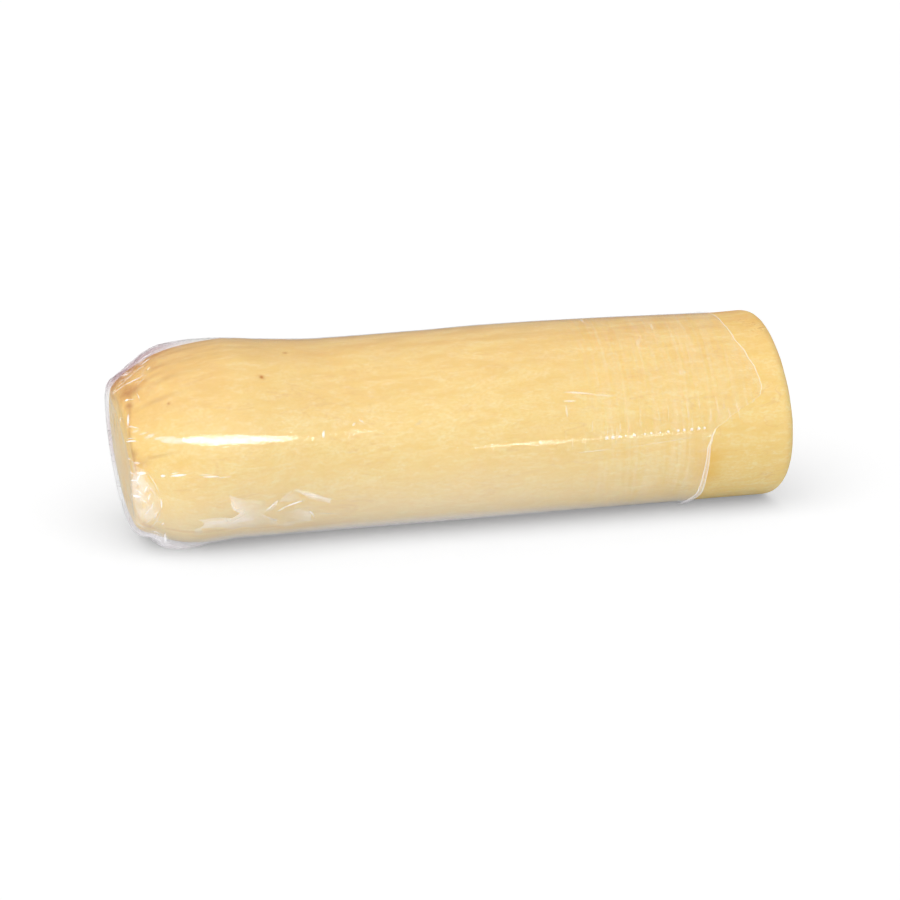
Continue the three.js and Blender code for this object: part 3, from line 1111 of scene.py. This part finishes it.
class PROVOLONE_OT_film(bpy.types.Operator):
    """Model the clear film: a turned sheet that puffs, pleats and crumples, then gets its wall"""

    bl_idname = "provolone.film"
    bl_label = "Film wrap"

    def execute(self, context):
        log = context.scene.provolone_log
        film = context.scene.provolone_film
        outline = film_outline(log)
        end = outline.reach[-1] / MM
        # Gaps between the rings of faces: reach and gap in mm
        gaps = (
            (0, 0.9), (20, 1.2), (100, 1.2), (180, 2.0), (230, 4.0), (end - 30, 3.6), (end - 8, 0.6),
            (end, 0.5),
        )
        piece = turned_piece("film", outline, outline.stepped(gaps), film.sides)
        reach, turn = focused_places(piece, film.front_focus)
        points, facts = film_points(log, film, outline, reach, turn, 0, 1)
        move_points(piece, points + frame_shift(log))

        # Haze and painted highlights: the patches paint the highlight's tail and band, and the crumpled
        # ridges are painted whiter, partly as glints.
        haze = spots(facts["reach"], turn, facts["radius"], MILKY_PATCHES_AND_HIGHLIGHTS)
        crumpled = 0.55 * facts["ridge"] * facts["end_share"] * facts["loose"]
        haze = np.maximum(haze, crumpled * smooth(reach, 40 * MM, 60 * MM))
        # Veil: milky film that thickens low down. Whiter and glowing there, it is also painted light on the
        # underside, which lies in shade.
        rounding = smooth(facts["reach"], 12 * MM, 52 * MM)
        low = (1 + np.cos(turn) * rounding) / 2
        veil = 0.09 * smooth(low, 0.45, 0.9) + 0.36 * smooth(low, 0.86, 0.97)
        veil = 0.01 + veil * (1 - 0.6 * smooth(facts["station"], 200 * MM, 350 * MM))
        veil = np.maximum(veil, 0.5 * facts["end_share"] * smooth(low, 0.88, 1))
        # Tint of the gathered film, painted everywhere but at the front: partly the tint of layered film,
        # partly painted shade for the grey that loose film shows where it turns edge-on.
        far_side = np.maximum(np.cos(turn), -np.cos(turn - math.radians(18)))
        far_side = smooth(np.maximum(far_side, -np.sin(turn)) * rounding, 0.78, 1)
        paint_film(
            piece, haze, facts["end_share"] * far_side, 0,
            smooth(facts["station"], 275 * MM, 300 * MM), veil, 0.8,
        )

        bpy.context.view_layer.objects.active = piece
        wall = piece.modifiers.new("Wall", "SOLIDIFY")
        wall.thickness = film.wall
        wall.offset = -1
        bpy.ops.object.modifier_apply(modifier=wall.name)
        finish_piece(piece, film_material(film), "clear_film", "film_wrap")
        return {"FINISHED"}


def paint_film(piece, haze, gathered, seam, ripple, veil, gloss):
    """Paints all that the film's material reads."""
    blank = np.zeros(len(piece.data.vertices))
    for name, values in zip(FILM_PAINT, (haze, gathered, seam, ripple, veil, gloss)):
        paint(piece, name, values + blank)


def drape(context, piece, name):
    """Lays a flat piece on the film. Its X is the reach, its Y the way round, its Z the height above."""
    log, film = context.scene.provolone_log, context.scene.provolone_film
    seam = numbers_of(piece, "milk")
    reach, arc, height = points_of(piece).T
    draped = film_points(log, film, film_outline(log), reach, arc / film.round_radius, height, 0)[0]
    move_points(piece, draped + frame_shift(log))
    piece.name = piece.data.name = name
    paint_film(piece, 0, 0, seam, 0, 0, np.clip(1.4 * seam - 0.1, 0, 0.8))
    finish_piece(piece, film_material(film), "clear_film", "film_wrap")


class PROVOLONE_OT_creases(bpy.types.Operator):
    """Model the film's fine creases and painted glints: one slim spindle, copied, bent and laid on the film
    """

    bl_idname = "provolone.creases"
    bl_label = "Film creases"

    def execute(self, context):
        film = context.scene.provolone_film
        deselect()
        bpy.ops.mesh.primitive_uv_sphere_add(segments=12, ring_count=14, radius=1)
        model = context.object
        bpy.ops.object.mode_set(mode="EDIT")
        bpy.ops.mesh.select_all(action="SELECT")
        bpy.ops.transform.rotate(value=math.pi / 2, orient_axis="Y", center_override=(0, 0, 0))
        bpy.ops.mesh.bisect(plane_co=(0, 0, 0), plane_no=(0, 0, 1), clear_inner=True)
        bpy.ops.object.mode_set(mode="OBJECT")
        along, across, up = points_of(model).T
        ridge = np.clip(up, 0, 1) ** 3
        rows = [*CREASES_AND_GLINTS, *end_creases(), *edge_creases()]
        copies = []
        for reach, turn, half, wide, aim, bend, milk in rows:
            bpy.ops.object.duplicate()
            copy = context.object
            swing = math.radians(aim)
            side = across * wide + bend * (1 - along * along)
            arc = film.round_radius / MM * math.radians(turn)
            flat = np.stack([
                reach + along * half * math.cos(swing) - side * math.sin(swing),
                arc + along * half * math.sin(swing) + side * math.cos(swing),
                (0.1 + 0.3 * min(milk, 1)) * wide * ridge + 0.02,
            ], 1)
            move_points(copy, flat * MM)
            paint(copy, "milk", 0.8 * milk * ridge ** 0.6)
            copies.append(copy)
        deselect()
        model.select_set(True)
        bpy.ops.object.delete()
        drape(context, joined(copies), "film_creases")
        return {"FINISHED"}


class PROVOLONE_OT_folds(bpy.types.Operator):
    """Model the slack film's flat folds: outlines filled, divided and laid on the film"""

    bl_idname = "provolone.folds"
    bl_label = "Film folds"

    def execute(self, context):
        film = context.scene.provolone_film
        parts = []
        for outline in FOLDS:
            deselect()
            corners = np.array(outline, float)[:, :2]
            steps = 5
            bpy.ops.mesh.primitive_circle_add(vertices=steps * len(corners), radius=1, fill_type="NGON")
            part = context.object
            after = np.roll(corners, -1, 0)
            middle = corners.mean(0)
            share_along = np.arange(steps)[None, :, None] / steps
            edge = mix(corners[:, None], after[:, None], share_along)
            pinch = 4 * share_along * (1 - share_along) * 0.12
            edge = mix(edge, middle, pinch).reshape(-1, 2)
            flat = np.stack([
                edge[:, 0] * MM, film.round_radius * np.radians(edge[:, 1]), np.full(len(edge), 0.25 * MM),
            ], 1)
            move_points(part, flat)
            bpy.ops.object.mode_set(mode="EDIT")
            bpy.ops.mesh.select_all(action="SELECT")
            bpy.ops.mesh.quads_convert_to_tris(quad_method="BEAUTY", ngon_method="BEAUTY")
            bpy.ops.mesh.subdivide(number_cuts=5)
            bpy.ops.mesh.normals_make_consistent(inside=False)
            bpy.ops.object.mode_set(mode="OBJECT")
            flat = points_of(part)[:, :2] / (MM, film.round_radius * math.radians(1))
            nearness = 1 / (0.3 + ((flat[:, None] - corners) ** 2).sum(2))
            paint(part, "milk", nearness @ np.array(outline)[:, 2] / nearness.sum(1))
            parts.append(part)
        drape(context, joined(parts), "film_folds")
        return {"FINISHED"}


class PROVOLONE_OT_rim(bpy.types.Operator):
    """Model the film's rolled free edge: a ring drawn to the edge, thick low down at the front"""

    bl_idname = "provolone.rim"
    bl_label = "Film rim"

    def execute(self, context):
        log = context.scene.provolone_log
        film = context.scene.provolone_film
        deselect()
        thickness = 0.25
        bpy.ops.mesh.primitive_torus_add(
            major_segments=360, minor_segments=16, major_radius=1, minor_radius=thickness
        )
        piece = context.object
        x, y, z = points_of(piece).T
        turn = np.arctan2(y, x) % math.tau
        roll = round_table(turn, FILM_ROLL)
        out = (np.hypot(x, y) - 1) / thickness
        along = z / thickness
        edge = round_table(turn, FILM_EDGE)
        wobble = 0.4 * waves(np.stack([80 * MM * turn, 0 * turn, 0 * turn], 1), 3 * MM)
        radius = body_radius(log, edge)
        away = film.gap + film.wall + roll * (0.3 * out + 0.1) + 0.1 * MM + film.lip * slack_share(turn)
        ragged = smooth(turn, math.radians(88), math.radians(96))
        station = edge + roll * (along - 0.6) + 1.2 * MM * wobble * ragged
        moved = lay_down(log, station, radius + away, edge, turn, 0)
        move_points(piece, moved + frame_shift(log))
        piece.name = piece.data.name = "film_rim"
        bpy.ops.object.mode_set(mode="EDIT")
        bpy.ops.mesh.select_all(action="SELECT")
        bpy.ops.mesh.normals_make_consistent(inside=False)
        bpy.ops.object.mode_set(mode="OBJECT")
        # The rolled edge is milky, and where it is thick it is whiter along both of its edges, as painted
        # highlights.
        thick = smooth(roll, 0.3 * MM, 0.9 * MM)
        paint_film(piece, 0, 0, mix(0.16, 0.1 + 0.5 * np.abs(along) ** 4, thick), 0, 0, 0.8)
        finish_piece(piece, film_material(film), "clear_film", "film_wrap")
        return {"FINISHED"}


class PROVOLONE_OT_stage(bpy.types.Operator):
    """Lay the floor, and set the light and the camera"""

    bl_idname = "provolone.stage"
    bl_label = "Stage"

    def execute(self, context):
        stage = context.scene.provolone_stage
        deselect()
        bpy.ops.mesh.primitive_plane_add(size=stage.floor_size)
        floor = context.object
        floor.name = "floor"
        material, output = new_material("Backing paper, matt white")
        tree = material.node_tree
        seen = node(tree, "ShaderNodeLightPath").outputs["Is Camera Ray"]
        paper = node(tree, "ShaderNodeBsdfDiffuse", {"Color": stage.floor})
        glow = node(tree, "ShaderNodeMath", {0: seen, 1: stage.floor_glow}, operation="MULTIPLY").outputs[0]
        lit = node(tree, "ShaderNodeEmission", {"Color": (1, 1, 1), "Strength": glow})
        both = node(tree, "ShaderNodeAddShader", {0: paper.outputs[0], 1: lit.outputs[0]})
        tree.links.new(both.outputs[0], output.inputs["Surface"])
        floor.data.materials.append(material)

        world = bpy.data.worlds.new("Soft dome")
        world.use_nodes = True
        world.node_tree.nodes["Background"].inputs["Color"].default_value = (1, 1, 1, 1)
        world.node_tree.nodes["Background"].inputs["Strength"].default_value = stage.dome
        context.scene.world = world

        middle = Vector((0, 0, stage.middle_height))
        log_only = bpy.data.collections.new("Log alone")
        for piece in bpy.data.objects:
            if piece.type == "MESH" and piece != floor:
                log_only.objects.link(piece)
        paper_only = bpy.data.collections.new("Paper alone")
        paper_only.objects.link(floor)
        for name, strength, softness, direction, lit, shading in (
            ("key", stage.key, stage.softness, (-1.0, -1.1, 1.75), log_only, log_only),
            ("card", stage.card, stage.softness, (-0.3, -0.35, -1), log_only, log_only),
            ("paper_key", stage.paper_key, stage.paper_softness, (-0.35, -1, 1.8), paper_only, None),
        ):
            bpy.ops.object.light_add(type="SUN", location=direction)
            lamp = context.object
            lamp.name = name
            lamp.data.energy = strength * math.pi
            lamp.data.angle = softness
            lamp.rotation_euler = Vector(direction).to_track_quat("Z", "Y").to_euler()
            lamp.visible_glossy = False
            lamp.light_linking.receiver_collection = lit
            lamp.light_linking.blocker_collection = shading

        for name, start, end, high, glow in LAMP_STRIPS:
            start, end = Vector(start) * MM, Vector(end) * MM
            place = (start + end) / 2
            along = (end - start).normalized()
            facing = place - Vector((place.x, 0, stage.middle_height))
            facing = (facing - facing.dot(along) * along).normalized()
            bpy.ops.object.light_add(type="AREA", location=place)
            strip = context.object
            strip.name = name
            strip.data.shape = "ELLIPSE"
            strip.data.size = (end - start).length
            strip.data.size_y = high * MM
            strip.data.energy = glow * math.pi * math.pi / 4 * strip.data.size * strip.data.size_y
            strip.rotation_euler = Matrix((along, facing.cross(along), facing)).transposed().to_euler()
            strip.visible_camera = False
            strip.visible_diffuse = False

        turn, rise = stage.camera_turn, stage.camera_rise
        back = Vector((
            math.sin(turn) * math.cos(rise), -math.cos(turn) * math.cos(rise), math.sin(rise)
        ))
        up = back.cross(Vector((math.cos(turn), math.sin(turn), 0)))
        target = middle + Vector((stage.camera_side, 0, 0))
        place = target + back * stage.camera_distance
        aim = target - up * stage.camera_drop
        bpy.ops.object.camera_add(location=place)
        camera = context.object
        camera.name = "camera"
        camera.data.lens = stage.lens
        camera.data.sensor_width = 36
        camera.rotation_euler = (place - aim).to_track_quat("Z", "Y").to_euler()
        context.scene.camera = camera
        context.scene.view_settings.view_transform = "Standard"
        return {"FINISHED"}


class PROVOLONE_PT_sidebar(bpy.types.Panel):
    """Buttons and settings for the provolone log"""

    bl_idname = "PROVOLONE_PT_sidebar"
    bl_label = "Smoked Provolone"
    bl_space_type = "VIEW_3D"
    bl_region_type = "UI"
    bl_category = "Provolone"

    def draw(self, context):
        for operator in OPERATORS:
            self.layout.operator(operator.bl_idname)
        for group_name in GROUPS:
            group = getattr(context.scene, group_name)
            box = self.layout.box()
            for name in group.bl_rna.properties.keys():
                if name not in ("rna_type", "name"):
                    box.prop(group, name)


GROUPS = {
    "provolone_log": ProvoloneLog, "provolone_film": ProvoloneFilm, "provolone_stage": ProvoloneStage,
}
OPERATORS = (
    PROVOLONE_OT_cheese, PROVOLONE_OT_film, PROVOLONE_OT_folds, PROVOLONE_OT_creases, PROVOLONE_OT_rim,
    PROVOLONE_OT_stage,
)


def register():
    for name, group in GROUPS.items():
        bpy.utils.register_class(group)
        setattr(bpy.types.Scene, name, PointerProperty(type=group))
    for made in (*OPERATORS, PROVOLONE_PT_sidebar):
        bpy.utils.register_class(made)


def unregister():
    for made in (PROVOLONE_PT_sidebar, *reversed(OPERATORS)):
        bpy.utils.unregister_class(made)
    for name, group in reversed(GROUPS.items()):
        delattr(bpy.types.Scene, name)
        bpy.utils.unregister_class(group)


def main():
    """Models everything in order."""
    register()
    bpy.ops.provolone.cheese()
    bpy.ops.provolone.film()
    bpy.ops.provolone.folds()
    bpy.ops.provolone.creases()
    bpy.ops.provolone.rim()
    bpy.ops.provolone.stage()


if __name__ == "__main__":
    main()
